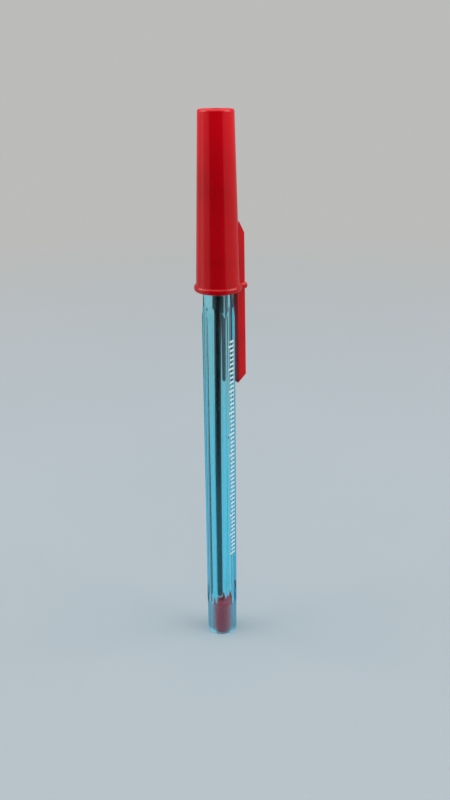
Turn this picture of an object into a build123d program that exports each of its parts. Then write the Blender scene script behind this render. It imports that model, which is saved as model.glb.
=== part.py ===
from build123d import *
from math import radians, tan
import os

# Stick ballpoint pen, standing on its rear end with the cap on.
# Millimetres, +Z up along the pen, origin at the centre of the rear end face.
# The barrel has a flat facing -Y and a corner on +X.

# Driving dimensions of the whole pen
pen_length = 148.0
cap_length = 43.8
nose_room = 27.0
press_gap = 0.02
slip_gap = 0.06

# Barrel
flat_width = 7.72
corner_diameter = 8.58
bore_diameter = 5.2
rear_diameter = 8.44
rear_length = 8.5
rear_ramp = 6.5
rear_blend = 2.5
rear_chamfer = 0.3
neck_diameter = 7.86
neck_front_diameter = 7.70
neck_length = 20.5
neck_cone = 3.3
neck_chamfer = 0.25
flat_run_in = 1.5
flat_run_out = 1.5
vent_diameter = 1.0
vent_share = 0.51

# End plug
plug_length = 10.7
plug_bottom = 1.8
plug_wall = 0.9
plug_chamfer = 0.2
plug_lead = 0.5

# Cap
cap_top_diameter = 8.9
cap_mouth_diameter = 11.3
cap_edge_radius = 0.5
cap_web = 1.9
cap_vent_diameter = 2.4
cap_seat_gap = 0.05
cap_grip_share = 0.52
cap_mouth_room = 0.42
cap_mouth_lead = 0.3
cap_nose_room = 0.35
cap_draft = 0.2
cap_turn = 36.5
bead_diameter = 12.28
bead_height = 1.6
bead_radius = 0.6
bead_corner_radius = 0.7

# Clip
clip_width = 4.4
clip_draft = 6.0
clip_rise = 17.3
clip_drop = 25.7
clip_slope = 3.0
clip_stand_top = 1.60
clip_stand_tip = 1.77
clip_gap_root = 0.06
clip_gap_tip = 0.46
clip_tip_slope = 2.0
clip_shoulder_radius = 4.5
clip_tip_radius = 0.5
clip_edge_radius = 0.3

# Tip holder
holder_insert = 8.0
holder_spigot_length = 5.0
holder_base_diameter = 5.9
holder_nose_diameter = 3.3
holder_channel_diameter = 0.9
holder_flange = 0.8
holder_lead = 0.4

# Writing point
point_room = 3.2
point_shank_diameter = 1.6
point_shank_length = 5.5
point_diameter = 2.3
point_straight = 4.2
point_cone_length = 6.0
point_lip_diameter = 0.84
point_channel_diameter = 0.7
point_feed_diameter = 0.36
point_feed_length = 3.4

# Ball
ball_diameter = 0.70
ball_gap = 0.012
ball_out = 0.19

# Ink tube and ink
tube_diameter = 3.0
tube_bore = 2.0
tube_room = 0.7
tube_lean_share = 0.71
tube_bend_share = 0.11
tube_rest = 23.6
ink_short = 0.6
ink_hollow = 0.5
ink_rim = 0.1

# Derived radii
flat_radius = flat_width / 2
corner_r = corner_diameter / 2
bore_r = bore_diameter / 2
rear_r = rear_diameter / 2
neck_r = neck_diameter / 2
neck_front_r = neck_front_diameter / 2
channel_r = holder_channel_diameter / 2
shank_r = point_shank_diameter / 2
point_r = point_diameter / 2
point_channel_r = point_channel_diameter / 2
feed_r = point_feed_diameter / 2
spigot_r = tube_bore / 2 - press_gap
ball_r = ball_diameter / 2
seat_r = ball_r + ball_gap

# Derived heights of the barrel and the cap
barrel_length = pen_length - nose_room
neck_cone_end = barrel_length - neck_length
neck_cone_start = neck_cone_end - neck_cone
flat_front = neck_cone_end - flat_run_in
flat_end = neck_cone_end + flat_run_out
rear_flat = rear_length + rear_ramp
cap_mouth = pen_length - cap_length
web_under = pen_length - cap_web
ledge = barrel_length + cap_seat_gap
grip_start = cap_mouth + bead_height + cap_mouth_room * 3
grip_end = grip_start + cap_grip_share * (barrel_length - grip_start)

# Derived heights of the clip
clip_top = cap_mouth + clip_rise
clip_shoulder = clip_top - clip_slope
clip_tip = cap_mouth - clip_drop

# Derived heights of the nose piece, the point, the ball and the ink
point_end = web_under - point_room
straight_end = point_end - point_cone_length
nose_end = straight_end - point_straight
cone_base = barrel_length + holder_flange
holder_rear = barrel_length - holder_insert
spigot_rear = holder_rear - holder_spigot_length
shank_rear = nose_end - point_shank_length
channel_end = point_end - point_feed_length
ball_height = point_end + ball_out - ball_r
tube_rear = plug_length + tube_room
tube_bend = spigot_rear - press_gap
ink_rear = tube_rear + ink_short
ink_end = ball_height - seat_r - ball_gap


def neck_radius(height):
    share = (height - neck_cone_end) / neck_length
    return neck_r + share * (neck_front_r - neck_r)


def cap_radius(height):
    share = (height - cap_mouth) / cap_length
    return (cap_mouth_diameter + share * (cap_top_diameter - cap_mouth_diameter)) / 2


clip_outer_top = cap_radius(clip_shoulder) + clip_stand_top
clip_outer_tip = cap_radius(cap_mouth) + clip_stand_tip
clip_inner_root = corner_r + clip_gap_root
clip_inner_tip = corner_r + clip_gap_tip


def clip_outer(height):
    share = (clip_shoulder - height) / (clip_shoulder - clip_tip)
    return clip_outer_top + share * (clip_outer_tip - clip_outer_top)


# One flat: a straight cut along the barrel that ramps out at both ends
rear_slope = (rear_r - flat_radius) / rear_ramp
front_slope = (neck_r - flat_radius) / (flat_end - flat_front)
cut_outer = corner_diameter
cut_over = rear_ramp

with BuildPart() as flat_cut:
    with BuildSketch(Plane.XZ):
        with BuildLine():
            Polyline(
                (flat_radius, rear_flat),
                (flat_radius, flat_front),
                (neck_r + front_slope * cut_over, flat_end + cut_over),
                (cut_outer, flat_end + cut_over),
                (cut_outer, rear_length - cut_over),
                (rear_r + rear_slope * cut_over, rear_length - cut_over),
                close=True,
            )
        make_face()
    extrude(amount=flat_width, both=True)

# Barrel
with BuildPart() as barrel:
    with BuildSketch(Plane.XZ):
        with BuildLine():
            Polyline(
                (bore_r, 0),
                (rear_r - rear_chamfer, 0),
                (rear_r, rear_chamfer),
                (rear_r, rear_length),
                (corner_r, rear_length + rear_blend),
                (corner_r, neck_cone_start),
                (neck_r, neck_cone_end),
                (neck_front_r, barrel_length - neck_chamfer),
                (neck_front_r - neck_chamfer, barrel_length),
                (bore_r, barrel_length),
                close=True,
            )
        make_face()
    revolve(axis=Axis.Z)
    with PolarLocations(0, 6, start_angle=30):
        add(flat_cut.part, mode=Mode.SUBTRACT)
    vent_height = vent_share * barrel_length
    vent_plane = Plane(origin=(0, 0, vent_height), x_dir=(1, 0, 0), z_dir=(0, 1, 0))
    with BuildSketch(vent_plane):
        Circle(vent_diameter / 2)
    extrude(amount=flat_width, mode=Mode.SUBTRACT)

# End plug, a cup with its closed end flush with the rear of the barrel
plug_r = bore_r - press_gap
cup_r = plug_r - plug_wall
with BuildPart() as end_plug:
    with BuildSketch(Plane.XZ):
        with BuildLine():
            Polyline(
                (0, 0),
                (plug_r - plug_chamfer, 0),
                (plug_r, plug_chamfer),
                (plug_r, plug_length - plug_lead),
                (plug_r - plug_lead / 2, plug_length),
                (cup_r, plug_length),
                (cup_r - plug_chamfer, plug_bottom),
                (0, plug_bottom),
                close=True,
            )
        make_face()
    revolve(axis=Axis.Z)

# Clip: sloped shoulder, long tapered arm with drafted sides and a slanted tip
clip_lean = tan(radians(clip_draft))
clip_axis_half = clip_width / 2 + clip_lean * clip_inner_tip
clip_far = clip_outer_tip + clip_width
clip_far_half = clip_axis_half - clip_lean * clip_far
with BuildPart() as clip_form:
    with BuildSketch(Plane.XZ) as clip_side:
        with BuildLine():
            Polyline(
                (cap_radius(clip_top) - clip_width / 2, clip_top),
                (clip_inner_root, cap_mouth),
                (clip_inner_tip, clip_tip),
                (clip_outer(clip_tip + clip_tip_slope), clip_tip + clip_tip_slope),
                (clip_outer(clip_shoulder), clip_shoulder),
                (cap_radius(clip_top), clip_top),
                close=True,
            )
        make_face()
        shoulder_corner = clip_side.vertices().filter_by_position(
            Axis.Z, clip_shoulder - press_gap, clip_shoulder + press_gap
        )
        fillet(shoulder_corner, clip_shoulder_radius)
        tip_corners = clip_side.vertices().filter_by_position(
            Axis.Z, clip_tip - press_gap, clip_tip + clip_tip_slope + press_gap
        )
        fillet(tip_corners, clip_tip_radius)
    extrude(amount=clip_width, both=True)
    with BuildSketch(Plane.XY.offset(clip_tip - clip_width)):
        with BuildLine():
            Polyline(
                (0, -clip_axis_half),
                (clip_far, -clip_far_half),
                (clip_far, clip_far_half),
                (0, clip_axis_half),
                close=True,
            )
        make_face()
    extrude(amount=clip_rise + clip_drop + 2 * clip_width, mode=Mode.INTERSECT)
    clip_faces = clip_form.faces().sort_by(Axis.Y)
    fillet(clip_faces[0].edges() + clip_faces[-1].edges(), clip_edge_radius)

# Bead round the cap mouth and round the root of the clip
bead_over = (bead_diameter - cap_mouth_diameter) / 2
clip_reach = clip_outer(cap_mouth) + bead_over
with BuildPart() as bead_form:
    with BuildSketch(Plane.XY.offset(cap_mouth)) as bead_outline:
        Circle(bead_diameter / 2)
        with Locations((clip_reach / 2, 0)):
            Rectangle(clip_reach, clip_width + 2 * bead_over)
        fillet(bead_outline.vertices(), bead_corner_radius)
    extrude(amount=bead_height)
    bead_edges = bead_form.edges().filter_by_position(Axis.Z, cap_mouth, cap_mouth, (True, True))
    bead_edges += bead_form.edges().filter_by_position(
        Axis.Z, cap_mouth + bead_height, cap_mouth + bead_height, (True, True)
    )
    fillet(bead_edges, bead_radius)

# Cap: tapered shell with the bead and the clip, hollow inside, a vent in the top
chamber_r = holder_base_diameter / 2 + cap_nose_room
mouth_r = neck_radius(cap_mouth) + cap_mouth_room
grip_r = neck_radius(grip_start) + slip_gap
relief_r = neck_radius(grip_end) + slip_gap + cap_draft

with BuildPart() as cap:
    with BuildSketch(Plane.XZ):
        with BuildLine():
            Polyline(
                (0, cap_mouth),
                (cap_radius(cap_mouth), cap_mouth),
                (cap_radius(pen_length), pen_length),
                (0, pen_length),
                close=True,
            )
        make_face()
    revolve(axis=Axis.Z)
    top_edge = cap.edges().group_by(Axis.Z)[-1]
    fillet(top_edge, cap_edge_radius)
    with PolarLocations(0, 1, start_angle=cap_turn):
        add(bead_form.part)
        add(clip_form.part)
    with BuildSketch(Plane.XZ):
        with BuildLine():
            Polyline(
                (0, cap_mouth),
                (mouth_r + cap_mouth_lead, cap_mouth),
                (mouth_r, cap_mouth + cap_mouth_lead),
                (mouth_r, grip_start - cap_mouth_room),
                (grip_r, grip_start),
                (grip_r, grip_end),
                (relief_r, grip_end + cap_draft),
                (relief_r - cap_draft / 2, ledge),
                (chamber_r, ledge),
                (chamber_r - cap_draft, web_under),
                (0, web_under),
                close=True,
            )
        make_face()
    revolve(axis=Axis.Z, mode=Mode.SUBTRACT)
    with BuildSketch(Plane.XY.offset(pen_length)):
        Circle(cap_vent_diameter / 2)
    extrude(amount=-cap_web, mode=Mode.SUBTRACT)

# Tip holder: spigot for the ink tube, pressed body, nose cone
holder_r = bore_r - press_gap
with BuildPart() as tip_holder:
    with BuildSketch(Plane.XZ):
        with BuildLine():
            Polyline(
                (channel_r, spigot_rear),
                (spigot_r - holder_lead / 2, spigot_rear),
                (spigot_r, spigot_rear + holder_lead),
                (spigot_r, holder_rear),
                (holder_r - holder_lead, holder_rear),
                (holder_r, holder_rear + holder_lead),
                (holder_r, barrel_length),
                (holder_base_diameter / 2, barrel_length),
                (holder_base_diameter / 2, cone_base),
                (holder_nose_diameter / 2, nose_end),
                (shank_r + press_gap, nose_end),
                (shank_r + press_gap, shank_rear),
                (channel_r, shank_rear),
                close=True,
            )
        make_face()
    revolve(axis=Axis.Z)

# Writing point: pressed shank, straight body, cone and a lip that holds the ball
with BuildPart() as writing_point:
    with BuildSketch(Plane.XZ):
        with BuildLine():
            Polyline(
                (point_channel_r, shank_rear),
                (shank_r, shank_rear),
                (shank_r, nose_end),
                (point_r, nose_end),
                (point_r, straight_end),
                (point_lip_diameter / 2, point_end),
                (feed_r, point_end),
                (feed_r, channel_end),
                (point_channel_r, channel_end - point_channel_r),
                close=True,
            )
        make_face()
    revolve(axis=Axis.Z)
    with Locations((0, 0, ball_height)):
        Sphere(seat_r, mode=Mode.SUBTRACT)

# Writing ball
with BuildPart() as ball:
    with Locations((0, 0, ball_height)):
        Sphere(ball_r)

# Line of the ink tube: straight on the spigot, bent over towards -X, straight again at the rear
tube_lean = tube_lean_share * (bore_r - tube_diameter / 2)
bend_length = tube_bend - tube_rear - tube_rest
bend_drop = tube_bend_share * bend_length
bend_middle = Vector(-tube_bend_share * tube_lean, 0, tube_bend - bend_drop)
bend_end = Vector(-tube_lean, 0, tube_rear + tube_rest)
rest_end = Vector(-tube_lean, 0, tube_rear)

with BuildLine() as tube_line:
    lean_over = TangentArc((0, 0, tube_bend), bend_middle, tangent=(0, 0, -1))
    TangentArc(bend_middle, bend_end, tangent=lean_over % 1)
    Line(bend_end, rest_end)

# Ink tube
with BuildPart() as ink_tube:
    with BuildSketch(Plane.XY.offset(tube_bend)):
        Circle(tube_diameter / 2)
        Circle(tube_bore / 2, mode=Mode.SUBTRACT)
    sweep(path=tube_line.line)
    with BuildSketch(Plane.XY.offset(tube_bend)):
        Circle(tube_diameter / 2)
        Circle(tube_bore / 2, mode=Mode.SUBTRACT)
    extrude(amount=holder_rear - tube_bend)

# Ink, from its hollow rear surface to the feed behind the ball
ink_r = tube_bore / 2 - press_gap
ink_channel_r = channel_r - press_gap
ink_point_r = point_channel_r - press_gap
ink_feed_r = feed_r - press_gap
hollow_rim_r = ink_r - ink_rim
hollow_radius = (hollow_rim_r**2 + ink_hollow**2) / (2 * ink_hollow)
with BuildPart() as ink:
    with BuildSketch(Plane.XY.offset(tube_bend)):
        Circle(ink_r)
    sweep(path=tube_line.line)
    with Locations((-tube_lean, 0, ink_rear)):
        Cylinder(tube_diameter, tube_diameter, align=(Align.CENTER, Align.CENTER, Align.MAX), mode=Mode.SUBTRACT)
    with Locations((-tube_lean, 0, ink_rear + ink_hollow - hollow_radius)):
        Sphere(hollow_radius, mode=Mode.SUBTRACT)
    with BuildSketch(Plane.XZ):
        with BuildLine():
            Polyline(
                (0, tube_bend),
                (ink_channel_r, tube_bend),
                (ink_channel_r, shank_rear - press_gap),
                (ink_point_r, shank_rear - press_gap),
                (ink_point_r, channel_end - point_channel_r - press_gap),
                (ink_feed_r, channel_end - press_gap),
                (ink_feed_r, ink_end),
                (0, ink_end),
                close=True,
            )
        make_face()
    revolve(axis=Axis.Z)

# One STEP file for each piece
os.makedirs("parts", exist_ok=True)
barrel.part.label = "barrel"
export_step(barrel.part, "parts/barrel.step")
end_plug.part.label = "end_plug"
export_step(end_plug.part, "parts/end_plug.step")
cap.part.label = "cap"
export_step(cap.part, "parts/cap.step")
tip_holder.part.label = "tip_holder"
export_step(tip_holder.part, "parts/tip_holder.step")
writing_point.part.label = "writing_point"
export_step(writing_point.part, "parts/writing_point.step")
ball.part.label = "ball"
export_step(ball.part, "parts/ball.step")
ink_tube.part.label = "ink_tube"
export_step(ink_tube.part, "parts/ink_tube.step")
ink.part.label = "ink"
export_step(ink.part, "parts/ink.step")
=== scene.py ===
import math

import bmesh
import bpy
from mathutils import Matrix, Vector


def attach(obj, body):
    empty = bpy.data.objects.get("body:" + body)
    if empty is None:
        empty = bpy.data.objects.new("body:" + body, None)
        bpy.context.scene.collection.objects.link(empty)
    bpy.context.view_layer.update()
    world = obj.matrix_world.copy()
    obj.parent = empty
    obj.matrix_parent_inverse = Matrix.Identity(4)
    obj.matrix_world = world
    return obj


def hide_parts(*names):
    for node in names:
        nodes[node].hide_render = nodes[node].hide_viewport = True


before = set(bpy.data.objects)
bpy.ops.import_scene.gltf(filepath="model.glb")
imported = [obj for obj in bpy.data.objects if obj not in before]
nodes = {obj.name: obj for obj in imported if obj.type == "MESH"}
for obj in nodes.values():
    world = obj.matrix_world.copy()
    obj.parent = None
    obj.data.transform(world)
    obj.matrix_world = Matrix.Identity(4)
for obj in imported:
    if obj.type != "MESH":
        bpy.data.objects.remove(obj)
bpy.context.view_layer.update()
MM = 0.001

# Camera, from the view that the photograph was taken at
CAMERA_TURN = math.radians(4.5)
CAMERA_PLACE = Vector((2.3, -205.6, 157.5)) * MM
CAMERA_RIGHT = Vector((0.99995, 0.0, -0.0098))
CAMERA_UP = Vector((0.0091, 0.3768, 0.9262))
CAMERA_LENS = 37.05
CAMERA_SENSOR = 36.0
CAMERA_NEAR = 0.005
CAMERA_FAR = 50.0

# Barrel sizes, millimetres
FLAT_R = 7.72 / 2
CORNER_R = 8.58 / 2
BORE_R = 5.2 / 2
REAR_R = 8.44 / 2
REAR_CHAMFER = 0.3
REAR_LENGTH = 8.5
REAR_RAMP = 6.5
REAR_BLEND = 2.5
NECK_R = 7.86 / 2
NECK_FRONT_R = 7.70 / 2
NECK_CHAMFER = 0.25
BARREL_LENGTH = 121.0
CONE_START = 97.2
CONE_END = 100.5
FLAT_FRONT = 99.0
FLAT_END = 102.0
EDGE_RADIUS = 1.08
EDGE_BLEND = 0.08
VENT_R = 0.5
VENT_HEIGHT = 0.51 * BARREL_LENGTH

# Mesh of the barrel: where each stretch of rings ends and how many rings it has, and the steps round it
RING_STOPS = (
    (REAR_LENGTH - 0.5, 6),
    (REAR_LENGTH + REAR_RAMP + 1.0, 56),
    (CONE_START - 1.7, 24),
    (FLAT_END + 1.5, 54),
    (BARREL_LENGTH - NECK_CHAMFER, 6),
)
BORE_RINGS = 12
FACETS = 6
FACET_STEPS = 80
HALF_FACET = math.radians(180 / FACETS)
VENT_STEPS = 40
VENT_REACH = 1.0
SMOOTH_ANGLE = math.radians(35)
WELD = 1e-7

# Cap sizes, millimetres, and the turn of the clip about the pen's axis
CAP_MOUTH = 104.2
CAP_TOP = 148.0
CLIP_TURN = math.radians(36.5)
CLIP_WAY = Vector((math.cos(CLIP_TURN), math.sin(CLIP_TURN), 0))

# Ink tube and ink sizes, millimetres
TUBE_R = 1.5
TUBE_BORE_R = 1.0
TUBE_REAR = 11.4
TUBE_FRONT = 113.0
TUBE_BEND = 107.98
TUBE_LEAN = 0.71 * (BORE_R - TUBE_R)
TUBE_RINGS = 48
TUBE_STEPS = 96
BEND_SHARE = 0.11
REST_END = TUBE_REAR + 23.6
INK_R = 1.004
INK_REAR = 12.0
INK_HOLLOW = 0.5
INK_RIM = 0.1
HOLLOW_STEPS = 8
HOLDER_CHANNEL_R = 0.43
POINT_REAR = 127.18
POINT_CHANNEL_R = 0.33
POINT_CHANNEL_END = 139.13
FEED_R = 0.16
FEED_START = 139.48
FEED_END = 142.366

# Printed scale of plain strokes, millimetres, on the flat to the right of the front one
SCALE_START = 27.0
SCALE_END = 91.0
SCALE_PITCH = 1.25
SCALE_ANGLE = math.radians(-30)
STROKE = 0.55
STROKE_DEPTH = 0.02
STROKE_LONG = 2.3
STROKE_SHORT = 1.75
STROKE_END = 1.2
LONG_EVERY = 5

# Clear plastics
WHITE = (1, 1, 1, 1)
BARREL_IOR = 1.58
BARREL_TINT = (0.0, 0.855, 0.968, 1)
BARREL_DENSITY = 385.0
BARREL_SHADOW = (0.94, 0.96, 0.97, 1)
TUBE_COLOUR = (0.94, 0.95, 0.96, 1)
TUBE_CLEARNESS = 0.985
TUBE_IOR = 1.49
TUBE_SHADOW = (0.95, 0.95, 0.95, 1)

# Colours of the solid materials, each from its darker to its lighter patches
CAP_RED = ((0.58, 0.0006, 0.005, 1), (0.66, 0.0010, 0.007, 1))
# Lighter red for painted light: the cap's red turns to it over the cap's top and the clip's outer side
CAP_PAINTED_LIGHT = (0.90, 0.0016, 0.011, 1)
# The plug's red is lighter than the cap's: painted light standing in for the light that the clear barrel holds
# back
PLUG_RED_LIGHTENED = ((0.84, 0.006, 0.014, 1), (0.90, 0.010, 0.020, 1))
# Lighter plug red for the same painted light
PLUG_PAINTED_LIGHT = (0.90, 0.010, 0.020, 1)
RED_IOR = 1.5
NATURAL = ((0.60, 0.61, 0.57, 1), (0.78, 0.78, 0.73, 1))
BRASS = ((0.52, 0.46, 0.34, 1), (0.74, 0.68, 0.54, 1))
CARBIDE = ((0.36, 0.36, 0.38, 1), (0.48, 0.48, 0.50, 1))
INK = ((0.016, 0.0006, 0.0012, 1), (0.030, 0.0010, 0.0022, 1))
PRINT = ((0.86, 0.90, 0.91, 1), (0.94, 0.96, 0.96, 1))
FLOOR = ((0.42, 0.48, 0.52, 1), (0.45, 0.51, 0.55, 1))

# Where the materials change, metres: heights, distances from the axis and reach towards the clip
REAR_END = (REAR_LENGTH * MM, (REAR_LENGTH + REAR_BLEND) * MM)
END_FACE = (2.8 * MM, 3.2 * MM)
TUBE_CUT = (11.6 * MM, 12.2 * MM)
BELOW_MOUTH = ((CAP_MOUTH - 0.7) * MM, (CAP_MOUTH - 0.1) * MM)
TOP_FACE = ((CAP_TOP - 0.25) * MM, (CAP_TOP - 0.05) * MM)
# Heights over which the cap's red is painted lighter, painted light on its top
PAINTED_LIGHT_TOP = (128 * MM, 150 * MM)
CLIP_INNER = (4.78 * MM, 4.95 * MM)
# Reach towards the clip past which its outer side is painted lighter, and how much: a painted highlight
CLIP_OUTER = (5.9 * MM, 6.3 * MM)
CLIP_PAINTED_LIGHT = 0.33

# Roughness, and the part of a noise pattern's range that most of it lies in
NOISE_RANGE = (0.3, 0.7)
POLISHED = 0.035
BORE_END_ROUGH = 0.45
REAR_ROUGH = 0.12
CLIP_INNER_ROUGH = 0.6
TOP_FACE_ROUGH = 0.55
TUBE_CUT_ROUGH = 0.7
FLOOR_ROUGH = 0.85

# Stage, lights and world, metres
FRONT = Vector((math.sin(CAMERA_TURN), -math.cos(CAMERA_TURN), 0))
SIDE = Vector((math.cos(CAMERA_TURN), math.sin(CAMERA_TURN), 0))
BACKDROP = (0.50, 0.50, 0.49, 1)
OVERHEAD = (1.00, 1.00, 1.00, 1)
WALL = (0.28, 0.28, 0.28, 1)
LEFT_WALL = (0.55, 0.55, 0.55, 1)
BEHIND_NEAR = (0.38, 0.66, 0.78, 1)
BEHIND_FAR = (0.62, 0.60, 0.60, 1)
ROUND_ABOUT = (1.8, 1.7, 1.7, 1)
FRONT_DARK = (0.002, 0.002, 0.003, 1)
FLOOR_HALF = 4.0
FLOOR_HEIGHT = -0.05 * MM
FLOOR_FADE = (0.10, 0.7)
FLOOR_THROUGH = (0.005, 0.014)
NEAR_TO_FAR = (0.05, 0.28)
FLOOR_FRONT = (0.45, 0.75)
FLOOR_FRONT_START = (0.05, 0.15)
WORLD_FRONT = (0.68, 0.80)
WORLD_LEFT = (-0.965, -0.992)
WALL_TOP = (0.5, 0.7)
LEAST_LENGTH = 0.001
ONE_BOUNCE = 0.5
BOX_SIZE = 0.8
BOX_TARGET = Vector((0, 0, 0.07))
LEFT_BOX = Vector((-0.85, -0.05, 0.55))
LEFT_POWER = 3.8
RIGHT_BOX = Vector((0.85, -0.05, 0.55))
RIGHT_POWER = 4.4


def add_object(name, data):
    ob = bpy.data.objects.new(name, data)
    bpy.context.scene.collection.objects.link(ob)
    return ob


def make_camera():
    data = bpy.data.cameras.new("camera")
    data.lens = CAMERA_LENS
    data.sensor_width = CAMERA_SENSOR
    data.clip_start = CAMERA_NEAR
    data.clip_end = CAMERA_FAR
    cam = add_object("camera", data)
    right = CAMERA_RIGHT.normalized()
    back = right.cross(CAMERA_UP).normalized()
    up = back.cross(right).normalized()
    pose = Matrix((right, up, back)).transposed().to_4x4()
    pose.translation = CAMERA_PLACE
    cam.matrix_world = Matrix.Rotation(CAMERA_TURN, 4, "Z") @ pose
    bpy.context.scene.camera = cam


make_camera()


# Helpers for shader nodes
def new_material(name):
    mat = bpy.data.materials.new(name)
    mat.use_nodes = True
    return mat, mat.node_tree, mat.node_tree.nodes["Principled BSDF"]


def join(tree, value, socket):
    if isinstance(value, bpy.types.NodeSocket):
        tree.links.new(value, socket)
    else:
        socket.default_value = value


def maths(tree, operation, *values):
    made = tree.nodes.new("ShaderNodeMath")
    made.operation = operation
    for index, value in enumerate(values):
        join(tree, value, made.inputs[index])
    return made.outputs[0]


def spread(tree, value, low, high, to_low=0.0, to_high=1.0):
    made = tree.nodes.new("ShaderNodeMapRange")
    made.interpolation_type = "SMOOTHSTEP"
    join(tree, value, made.inputs["Value"])
    made.inputs["From Min"].default_value = low
    made.inputs["From Max"].default_value = high
    made.inputs["To Min"].default_value = to_low
    made.inputs["To Max"].default_value = to_high
    return made.outputs["Result"]


def vary(tree, pattern, least, most):
    return spread(tree, pattern, *NOISE_RANGE, least, most)


def blend_colour(tree, share, first, second):
    made = tree.nodes.new("ShaderNodeMix")
    made.data_type = "RGBA"
    join(tree, share, made.inputs["Factor"])
    # The colour sockets of a Mix node share their names with the others, so they go by number
    join(tree, first, made.inputs[6])
    join(tree, second, made.inputs[7])
    return made.outputs[2]


def position(tree, kind="Object"):
    coords = tree.nodes.new("ShaderNodeTexCoord")
    split = tree.nodes.new("ShaderNodeSeparateXYZ")
    tree.links.new(coords.outputs[kind], split.inputs["Vector"])
    return split.outputs


def from_axis(tree, x, y):
    squares = maths(tree, "ADD", maths(tree, "POWER", x, 2.0), maths(tree, "POWER", y, 2.0))
    return maths(tree, "SQRT", squares)


def towards(tree, x, y, way):
    return maths(tree, "ADD", maths(tree, "MULTIPLY", x, way.x), maths(tree, "MULTIPLY", y, way.y))


def noise(tree, scale, detail=2.0, stretch=(1, 1, 1)):
    coords = tree.nodes.new("ShaderNodeTexCoord")
    mapping = tree.nodes.new("ShaderNodeMapping")
    tree.links.new(coords.outputs["Object"], mapping.inputs["Vector"])
    mapping.inputs["Scale"].default_value = stretch
    made = tree.nodes.new("ShaderNodeTexNoise")
    tree.links.new(mapping.outputs["Vector"], made.inputs["Vector"])
    made.inputs["Scale"].default_value = scale
    made.inputs["Detail"].default_value = detail
    return made.outputs["Fac"]


def bump(tree, height, strength, distance):
    made = tree.nodes.new("ShaderNodeBump")
    tree.links.new(height, made.inputs["Height"])
    made.inputs["Strength"].default_value = strength
    made.inputs["Distance"].default_value = distance
    return made.outputs["Normal"]


def let_light_through(tree, bsdf, tint):
    path = tree.nodes.new("ShaderNodeLightPath")
    clear = tree.nodes.new("ShaderNodeBsdfTransparent")
    clear.inputs["Color"].default_value = tint
    mix = tree.nodes.new("ShaderNodeMixShader")
    tree.links.new(path.outputs["Is Shadow Ray"], mix.inputs["Fac"])
    tree.links.new(bsdf.outputs["BSDF"], mix.inputs[1])
    tree.links.new(clear.outputs["BSDF"], mix.inputs[2])
    tree.links.new(mix.outputs["Shader"], tree.nodes["Material Output"].inputs["Surface"])


# Materials
def clear_blue_plastic():
    mat, tree, bsdf = new_material("clear_blue_plastic")
    bsdf.inputs["Base Color"].default_value = WHITE
    bsdf.inputs["Transmission Weight"].default_value = 1.0
    bsdf.inputs["IOR"].default_value = BARREL_IOR
    x, y, z = position(tree)
    worn_end = spread(tree, from_axis(tree, x, y), *END_FACE, BORE_END_ROUGH, REAR_ROUGH)
    rear = spread(tree, z, *REAR_END, 1.0, 0.0)
    scuffed = maths(tree, "MAXIMUM", maths(tree, "MULTIPLY", worn_end, rear), POLISHED)
    handling = noise(tree, scale=2600, detail=3.0, stretch=(1, 1, 0.04))
    scratches = spread(tree, handling, low=0.60, high=0.78, to_low=0.0, to_high=0.05)
    join(tree, maths(tree, "ADD", scuffed, scratches), bsdf.inputs["Roughness"])
    flow = noise(tree, scale=1100, detail=1.0, stretch=(1, 1, 0.02))
    join(tree, bump(tree, flow, strength=1.0, distance=0.025 * MM), bsdf.inputs["Normal"])
    tint = tree.nodes.new("ShaderNodeVolumeAbsorption")
    tint.inputs["Color"].default_value = BARREL_TINT
    tint.inputs["Density"].default_value = BARREL_DENSITY
    tree.links.new(tint.outputs["Volume"], tree.nodes["Material Output"].inputs["Volume"])
    let_light_through(tree, bsdf, BARREL_SHADOW)
    return mat


def dull_faces(tree):
    x, y, z = position(tree)
    near = spread(tree, towards(tree, x, y, CLIP_WAY), *CLIP_INNER, 1.0, 0.0)
    below = spread(tree, z, *BELOW_MOUTH, CLIP_INNER_ROUGH, 0.0)
    cap_top = spread(tree, z, *TOP_FACE, 0.0, TOP_FACE_ROUGH)
    return maths(tree, "MAXIMUM", maths(tree, "MULTIPLY", near, below), cap_top)


# Share of painted light in the red: lighter at the cap's top and on the clip's outer side, where the light
# falls brighter
def painted_light_share(tree):
    x, y, z = position(tree)
    lighter_top = spread(tree, z, *PAINTED_LIGHT_TOP)
    clip = spread(tree, towards(tree, x, y, CLIP_WAY), *CLIP_OUTER, 0.0, CLIP_PAINTED_LIGHT)
    return maths(tree, "MAXIMUM", lighter_top, clip)


def red_plastic(name, colours, painted_light_red):
    mat, tree, bsdf = new_material(name)
    cloud = noise(tree, scale=130, detail=3.0)
    solid = blend_colour(tree, spread(tree, cloud, low=0.35, high=0.65), *colours)
    # Painted light: the red turns lighter at the cap's top and on the clip's outer side
    join(tree, blend_colour(tree, painted_light_share(tree), solid, painted_light_red), bsdf.inputs["Base Color"])
    bsdf.inputs["IOR"].default_value = RED_IOR
    lines = noise(tree, scale=1900, detail=3.0, stretch=(1, 1, 0.05))
    worn = spread(tree, lines, low=0.55, high=0.75, to_low=0.0, to_high=0.06)
    even = vary(tree, noise(tree, scale=900), least=0.08, most=0.12)
    shine = maths(tree, "ADD", even, worn)
    join(tree, maths(tree, "MAXIMUM", shine, dull_faces(tree)), bsdf.inputs["Roughness"])
    skin = noise(tree, scale=5200)
    join(tree, bump(tree, skin, strength=0.05, distance=0.02 * MM), bsdf.inputs["Normal"])
    return mat


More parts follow.
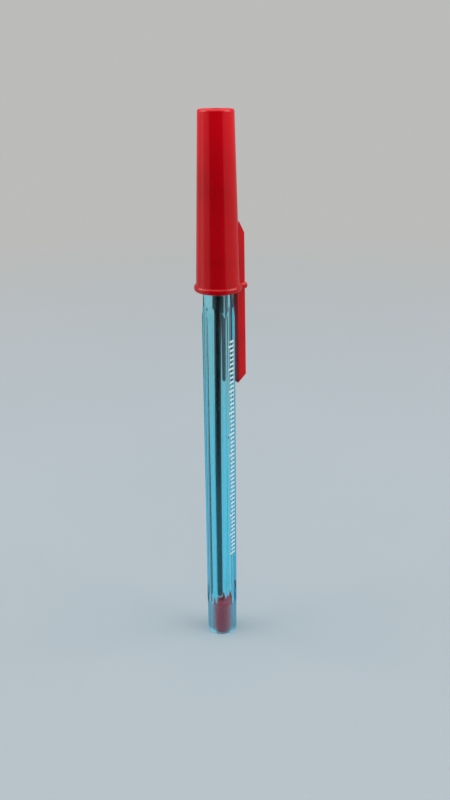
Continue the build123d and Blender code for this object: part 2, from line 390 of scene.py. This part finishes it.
def natural_plastic():
    mat, tree, bsdf = new_material("natural_plastic")
    cloud = noise(tree, scale=420, detail=3.0)
    join(tree, blend_colour(tree, cloud, *NATURAL), bsdf.inputs["Base Color"])
    bsdf.inputs["Subsurface Weight"].default_value = 0.25
    bsdf.inputs["Subsurface Radius"].default_value = (1.0, 0.9, 0.8)
    bsdf.inputs["Subsurface Scale"].default_value = 0.6 * MM
    grain = noise(tree, scale=3200)
    join(tree, vary(tree, grain, least=0.34, most=0.46), bsdf.inputs["Roughness"])
    join(tree, bump(tree, grain, strength=0.08, distance=0.02 * MM), bsdf.inputs["Normal"])
    return mat


def turned_metal(name, colours, least_rough):
    mat, tree, bsdf = new_material(name)
    bsdf.inputs["Metallic"].default_value = 1.0
    rings = noise(tree, scale=9000, stretch=(0.02, 0.02, 1))
    join(tree, blend_colour(tree, rings, *colours), bsdf.inputs["Base Color"])
    join(tree, vary(tree, rings, least_rough, least_rough + 0.12), bsdf.inputs["Roughness"])
    join(tree, bump(tree, rings, strength=0.15, distance=0.01 * MM), bsdf.inputs["Normal"])
    return mat


def tube_plastic():
    mat, tree, bsdf = new_material("tube_plastic")
    bsdf.inputs["Base Color"].default_value = TUBE_COLOUR
    bsdf.inputs["Transmission Weight"].default_value = TUBE_CLEARNESS
    bsdf.inputs["IOR"].default_value = TUBE_IOR
    drawn = noise(tree, scale=3000, stretch=(1, 1, 0.03))
    smooth = spread(tree, drawn, low=0.35, high=0.7, to_low=0.05, to_high=0.12)
    cut_end = spread(tree, position(tree)["Z"], *TUBE_CUT, TUBE_CUT_ROUGH, 0.0)
    join(tree, maths(tree, "MAXIMUM", smooth, cut_end), bsdf.inputs["Roughness"])
    let_light_through(tree, bsdf, TUBE_SHADOW)
    return mat


def red_ink():
    mat, tree, bsdf = new_material("red_ink")
    streaks = noise(tree, scale=1500, detail=3.0, stretch=(1, 1, 0.1))
    join(tree, blend_colour(tree, streaks, *INK), bsdf.inputs["Base Color"])
    join(tree, vary(tree, streaks, least=0.10, most=0.22), bsdf.inputs["Roughness"])
    return mat


def print_white():
    mat, tree, bsdf = new_material("print_white")
    wear = noise(tree, scale=1400, detail=3.0)
    join(tree, blend_colour(tree, wear, *PRINT), bsdf.inputs["Base Color"])
    join(tree, vary(tree, wear, least=0.35, most=0.5), bsdf.inputs["Roughness"])
    return mat


blue = clear_blue_plastic()
red = red_plastic("red_plastic", CAP_RED, CAP_PAINTED_LIGHT)
# Lighter copy of the red plastic for the plug, painted light for the light lost through the clear barrel
plug_red_lightened = red_plastic("plug_red_lightened", PLUG_RED_LIGHTENED, PLUG_PAINTED_LIGHT)
natural = natural_plastic()
brass = turned_metal("point_metal", BRASS, least_rough=0.18)
carbide = turned_metal("ball_metal", CARBIDE, least_rough=0.10)
tube_clear = tube_plastic()
ink_red = red_ink()
white = print_white()


def dress(name, mat):
    ob = nodes[name]
    ob.data.materials.clear()
    ob.data.materials.append(mat)


dress("cap", red)
dress("end_plug", plug_red_lightened)
dress("tip_holder", natural)
dress("writing_point", brass)
dress("ball", carbide)


# Mesh helpers, in millimetres
def finish_mesh(mesh, mat):
    bm = bmesh.new()
    bm.from_mesh(mesh)
    bmesh.ops.remove_doubles(bm, verts=bm.verts, dist=WELD)
    bmesh.ops.recalc_face_normals(bm, faces=bm.faces)
    bm.to_mesh(mesh)
    bm.free()
    mesh.shade_smooth()
    mesh.set_sharp_from_angle(angle=SMOOTH_ANGLE)
    mesh.materials.clear()
    mesh.materials.append(mat)


def mesh_object(name, verts, faces, mat):
    mesh = bpy.data.meshes.new(name)
    mesh.from_pydata([tuple(c * MM for c in v) for v in verts], [], faces)
    finish_mesh(mesh, mat)
    return add_object(name, mesh)


def steps_between(start, end, count):
    return [start + (end - start) * i / count for i in range(1, count + 1)]


# Barrel: six flats that ramp out into a round rear end and a round neck
def envelope(z):
    if z < REAR_LENGTH:
        return REAR_R
    if z < REAR_LENGTH + REAR_BLEND:
        return REAR_R + (CORNER_R - REAR_R) * (z - REAR_LENGTH) / REAR_BLEND
    if z < CONE_START:
        return CORNER_R
    if z < CONE_END:
        return CORNER_R + (NECK_R - CORNER_R) * (z - CONE_START) / (CONE_END - CONE_START)
    return NECK_R + (NECK_FRONT_R - NECK_R) * (z - CONE_END) / (BARREL_LENGTH - CONE_END)


def flat_depth(z):
    rear_flat = REAR_LENGTH + REAR_RAMP
    if z < rear_flat:
        return FLAT_R + (REAR_R - FLAT_R) / REAR_RAMP * (rear_flat - z)
    if z > FLAT_FRONT:
        return FLAT_R + (NECK_R - FLAT_R) / (FLAT_END - FLAT_FRONT) * (z - FLAT_FRONT)
    return FLAT_R


def soft_min(a, b, k):
    h = max(k - abs(a - b), 0.0) / k
    return min(a, b) - h * h * k / 4


def section(depth, local):
    off_centre = abs(local)
    flat_half = math.atan((depth - EDGE_RADIUS) * math.tan(HALF_FACET) / depth)
    if off_centre <= flat_half:
        return depth / math.cos(local)
    to_corner = HALF_FACET - off_centre
    centre = (depth - EDGE_RADIUS) / math.cos(HALF_FACET)
    return centre * math.cos(to_corner) + math.sqrt(EDGE_RADIUS**2 - (centre * math.sin(to_corner)) ** 2)


def barrel_angles():
    angles = []
    for facet in range(FACETS):
        centre = (2 * facet + 1) * HALF_FACET
        for step in range(FACET_STEPS):
            local = (2 * step / FACET_STEPS - 1) * HALF_FACET
            angles.append((centre + local, local))
    return angles


def barrel_levels():
    levels = [REAR_CHAMFER]
    for height, count in RING_STOPS:
        levels += steps_between(levels[-1], height, count)
    return levels


def cut_vent(ob):
    verts = []
    faces = []
    for y in (BORE_R - VENT_REACH, CORNER_R + VENT_REACH):
        for i in range(VENT_STEPS):
            a = 2 * math.pi * i / VENT_STEPS
            verts.append((VENT_R * math.cos(a), y, VENT_HEIGHT + VENT_R * math.sin(a)))
    for i in range(VENT_STEPS):
        e = (i + 1) % VENT_STEPS
        faces.append((i, e, VENT_STEPS + e, VENT_STEPS + i))
    faces.append(tuple(range(VENT_STEPS)))
    faces.append(tuple(range(VENT_STEPS, 2 * VENT_STEPS)))
    cutter = mesh_object("vent_cutter", verts, faces, blue)
    cut = ob.modifiers.new("vent", "BOOLEAN")
    cut.operation = "DIFFERENCE"
    cut.solver = "EXACT"
    cut.object = cutter
    whole = ob.evaluated_get(bpy.context.evaluated_depsgraph_get())
    mesh = bpy.data.meshes.new_from_object(whole)
    ob.modifiers.clear()
    ob.data = mesh
    bpy.data.objects.remove(cutter)
    finish_mesh(mesh, blue)


def make_barrel():
    angles = barrel_angles()
    count = len(angles)

    def round_ring(radius, height):
        return [(radius, a, height) for a, local in angles]

    rings = [round_ring(BORE_R, 0.0), round_ring(REAR_R - REAR_CHAMFER, 0.0)]
    for z in barrel_levels():
        outer = envelope(z) + EDGE_BLEND / 4
        depth = flat_depth(z)
        rings.append([(soft_min(outer, section(depth, local), EDGE_BLEND), a, z) for a, local in angles])
    rings.append(round_ring(NECK_FRONT_R - NECK_CHAMFER, BARREL_LENGTH))
    rings.append(round_ring(BORE_R, BARREL_LENGTH))
    rings += [round_ring(BORE_R, z) for z in steps_between(BARREL_LENGTH, 0.0, BORE_RINGS)[:-1]]
    verts = [(r * math.cos(a), r * math.sin(a), z) for ring in rings for r, a, z in ring]
    faces = []
    for j in range(len(rings)):
        k = (j + 1) % len(rings)
        for i in range(count):
            e = (i + 1) % count
            faces.append((j * count + i, j * count + e, k * count + e, k * count + i))
    ob = mesh_object("barrel_tube", verts, faces, blue)
    cut_vent(ob)
    return ob


barrel = make_barrel()
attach(barrel, "pen")
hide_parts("barrel")


# Ink tube and ink, on one line that leaves the nose piece straight and leans over to -X
def lean(z):
    if z >= TUBE_BEND:
        return 0.0
    if z <= REST_END:
        return -TUBE_LEAN
    length = TUBE_BEND - REST_END
    slope = 2 * TUBE_LEAN / length
    drop = BEND_SHARE * length
    if z > TUBE_BEND - drop:
        return -slope * (TUBE_BEND - z) ** 2 / (2 * drop)
    return -TUBE_LEAN + slope * (z - REST_END) ** 2 / (2 * (length - drop))


def bent_lathe(name, profile, mat, closed=True):
    verts = []
    faces = []
    count = len(profile)
    for i in range(TUBE_STEPS):
        a = 2 * math.pi * i / TUBE_STEPS
        verts += [(r * math.cos(a) + lean(z), r * math.sin(a), z) for r, z in profile]
    span = count if closed else count - 1
    for i in range(TUBE_STEPS):
        e = (i + 1) % TUBE_STEPS
        for j in range(span):
            k = (j + 1) % count
            faces.append((i * count + j, e * count + j, e * count + k, i * count + k))
    return mesh_object(name, verts, faces, mat)


def make_tube():
    profile = [(TUBE_BORE_R, TUBE_REAR), (TUBE_R, TUBE_REAR)]
    profile += [(TUBE_R, z) for z in steps_between(TUBE_REAR, TUBE_FRONT, TUBE_RINGS)]
    profile.append((TUBE_BORE_R, TUBE_FRONT))
    profile += [(TUBE_BORE_R, z) for z in steps_between(TUBE_FRONT, TUBE_REAR, TUBE_RINGS)[:-1]]
    return bent_lathe("refill_tube", profile, tube_clear)


def make_ink():
    rim = INK_R - INK_RIM
    profile = []
    for i in range(HOLLOW_STEPS + 1):
        a = math.pi / 2 * i / HOLLOW_STEPS
        profile.append((rim * math.sin(a), INK_REAR + INK_HOLLOW * math.cos(a)))
    profile.append((INK_R, INK_REAR))
    profile += [(INK_R, z) for z in steps_between(INK_REAR, TUBE_BEND, TUBE_RINGS)]
    profile += [(HOLDER_CHANNEL_R, TUBE_BEND), (HOLDER_CHANNEL_R, POINT_REAR)]
    profile += [(POINT_CHANNEL_R, POINT_REAR), (POINT_CHANNEL_R, POINT_CHANNEL_END)]
    profile += [(FEED_R, FEED_START), (FEED_R, FEED_END), (0.0, FEED_END)]
    return bent_lathe("ink_column", profile, ink_red, closed=False)


tube = make_tube()
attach(tube, "pen")
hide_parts("ink_tube")
ink = make_ink()
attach(ink, "pen")
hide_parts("ink")


# Printed scale
def make_scale():
    outward = Vector((math.cos(SCALE_ANGLE), math.sin(SCALE_ANGLE), 0))
    along = Vector((-math.sin(SCALE_ANGLE), math.cos(SCALE_ANGLE), 0))
    quads = ((0, 1, 2, 3), (4, 5, 6, 7), (0, 1, 5, 4), (1, 2, 6, 5), (2, 3, 7, 6), (3, 0, 4, 7))
    verts = []
    faces = []
    count = int((SCALE_END - SCALE_START) / SCALE_PITCH)
    for i in range(count + 1):
        length = STROKE_SHORT if i % LONG_EVERY else STROKE_LONG
        low = SCALE_START + i * SCALE_PITCH
        high = low + STROKE
        first = STROKE_END - length
        last = first + length
        faces += [tuple(len(verts) + k for k in quad) for quad in quads]
        for r in (FLAT_R - STROKE_DEPTH / 2, FLAT_R + STROKE_DEPTH):
            for t, z in ((first, low), (last, low), (last, high), (first, high)):
                point = outward * r + along * t
                verts.append((point.x, point.y, z))
    return mesh_object("printed_scale", verts, faces, white)


scale = make_scale()
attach(scale, "pen")


# Stage, lights and world: the camera sees a plain backdrop, rays through the clear plastic a brighter surround
def floor_material():
    mat, tree, bsdf = new_material("floor")
    cloud = noise(tree, scale=9, detail=3.0)
    join(tree, blend_colour(tree, cloud, *FLOOR), bsdf.inputs["Base Color"])
    bsdf.inputs["Roughness"].default_value = FLOOR_ROUGH
    path = tree.nodes.new("ShaderNodeLightPath").outputs
    x, y = position(tree)[:2]
    far = from_axis(tree, x, y)
    ahead = maths(tree, "DIVIDE", towards(tree, x, y, FRONT), maths(tree, "MAXIMUM", far, LEAST_LENGTH))
    in_front = spread(tree, ahead, *FLOOR_FRONT)
    in_front = maths(tree, "MULTIPLY", in_front, spread(tree, far, *FLOOR_FRONT_START))
    mirrored = maths(tree, "GREATER_THAN", path["Glossy Depth"], ONE_BOUNCE)
    in_front = maths(tree, "MULTIPLY", in_front, mirrored)
    later = maths(tree, "GREATER_THAN", path["Diffuse Depth"], ONE_BOUNCE)
    through = maths(tree, "MULTIPLY", path["Is Transmission Ray"], spread(tree, far, *FLOOR_THROUGH))
    seen = maths(tree, "MULTIPLY", path["Is Camera Ray"], spread(tree, far, *FLOOR_FADE))
    behind = blend_colour(tree, spread(tree, far, *NEAR_TO_FAR), BEHIND_NEAR, BEHIND_FAR)
    beyond = blend_colour(tree, in_front, behind, FRONT_DARK)
    beyond = blend_colour(tree, later, beyond, ROUND_ABOUT)
    glow = tree.nodes.new("ShaderNodeEmission")
    join(tree, blend_colour(tree, path["Is Camera Ray"], beyond, BACKDROP), glow.inputs["Color"])
    fade = tree.nodes.new("ShaderNodeMixShader")
    join(tree, maths(tree, "MAXIMUM", seen, through), fade.inputs["Fac"])
    tree.links.new(bsdf.outputs["BSDF"], fade.inputs[1])
    tree.links.new(glow.outputs["Emission"], fade.inputs[2])
    tree.links.new(fade.outputs["Shader"], tree.nodes["Material Output"].inputs["Surface"])
    return mat


def make_floor():
    mesh = bpy.data.meshes.new("floor")
    corners = ((-1, -1), (1, -1), (1, 1), (-1, 1))
    mesh.from_pydata([(x * FLOOR_HALF, y * FLOOR_HALF, FLOOR_HEIGHT) for x, y in corners], [], [(0, 1, 2, 3)])
    mesh.materials.append(floor_material())
    ob = add_object("floor", mesh)
    ob.visible_glossy = False


def light_box(name, where, power):
    data = bpy.data.lights.new(name, "AREA")
    data.shape = "RECTANGLE"
    data.size = BOX_SIZE
    data.size_y = BOX_SIZE
    data.energy = power
    ob = add_object(name, data)
    ob.location = where
    ob.rotation_euler = (BOX_TARGET - where).to_track_quat("-Z", "Y").to_euler()


def make_world():
    world = bpy.data.worlds.new("world")
    world.use_nodes = True
    tree = world.node_tree
    background = tree.nodes["Background"]
    path = tree.nodes.new("ShaderNodeLightPath").outputs
    x, y, z = position(tree, "Generated")
    level = maths(tree, "MAXIMUM", from_axis(tree, x, y), LEAST_LENGTH)
    facing = maths(tree, "DIVIDE", towards(tree, x, y, FRONT), level)
    aside = maths(tree, "DIVIDE", towards(tree, x, y, SIDE), level)
    walls = blend_colour(tree, spread(tree, aside, *WORLD_LEFT), WALL, LEFT_WALL)
    walls = blend_colour(tree, path["Is Transmission Ray"], walls, BEHIND_FAR)
    later = maths(tree, "GREATER_THAN", path["Diffuse Depth"], ONE_BOUNCE)
    later = maths(tree, "MULTIPLY", later, path["Is Transmission Ray"])
    straight = maths(tree, "LESS_THAN", path["Glossy Depth"], ONE_BOUNCE)
    straight = maths(tree, "MULTIPLY", straight, path["Is Transmission Ray"])
    in_front = spread(tree, facing, *WORLD_FRONT)
    in_front = maths(tree, "MULTIPLY", in_front, maths(tree, "SUBTRACT", 1.0, straight))
    walls = blend_colour(tree, in_front, walls, FRONT_DARK)
    walls = blend_colour(tree, later, walls, ROUND_ABOUT)
    room = blend_colour(tree, spread(tree, z, *WALL_TOP, 1.0, 0.0), OVERHEAD, walls)
    seen = blend_colour(tree, path["Is Camera Ray"], room, BACKDROP)
    tree.links.new(seen, background.inputs["Color"])
    background.inputs["Strength"].default_value = 1.0
    bpy.context.scene.world = world


make_floor()
light_box("left_box", LEFT_BOX, LEFT_POWER)
light_box("right_box", RIGHT_BOX, RIGHT_POWER)
make_world()
bpy.context.scene.view_settings.view_transform = "Standard"
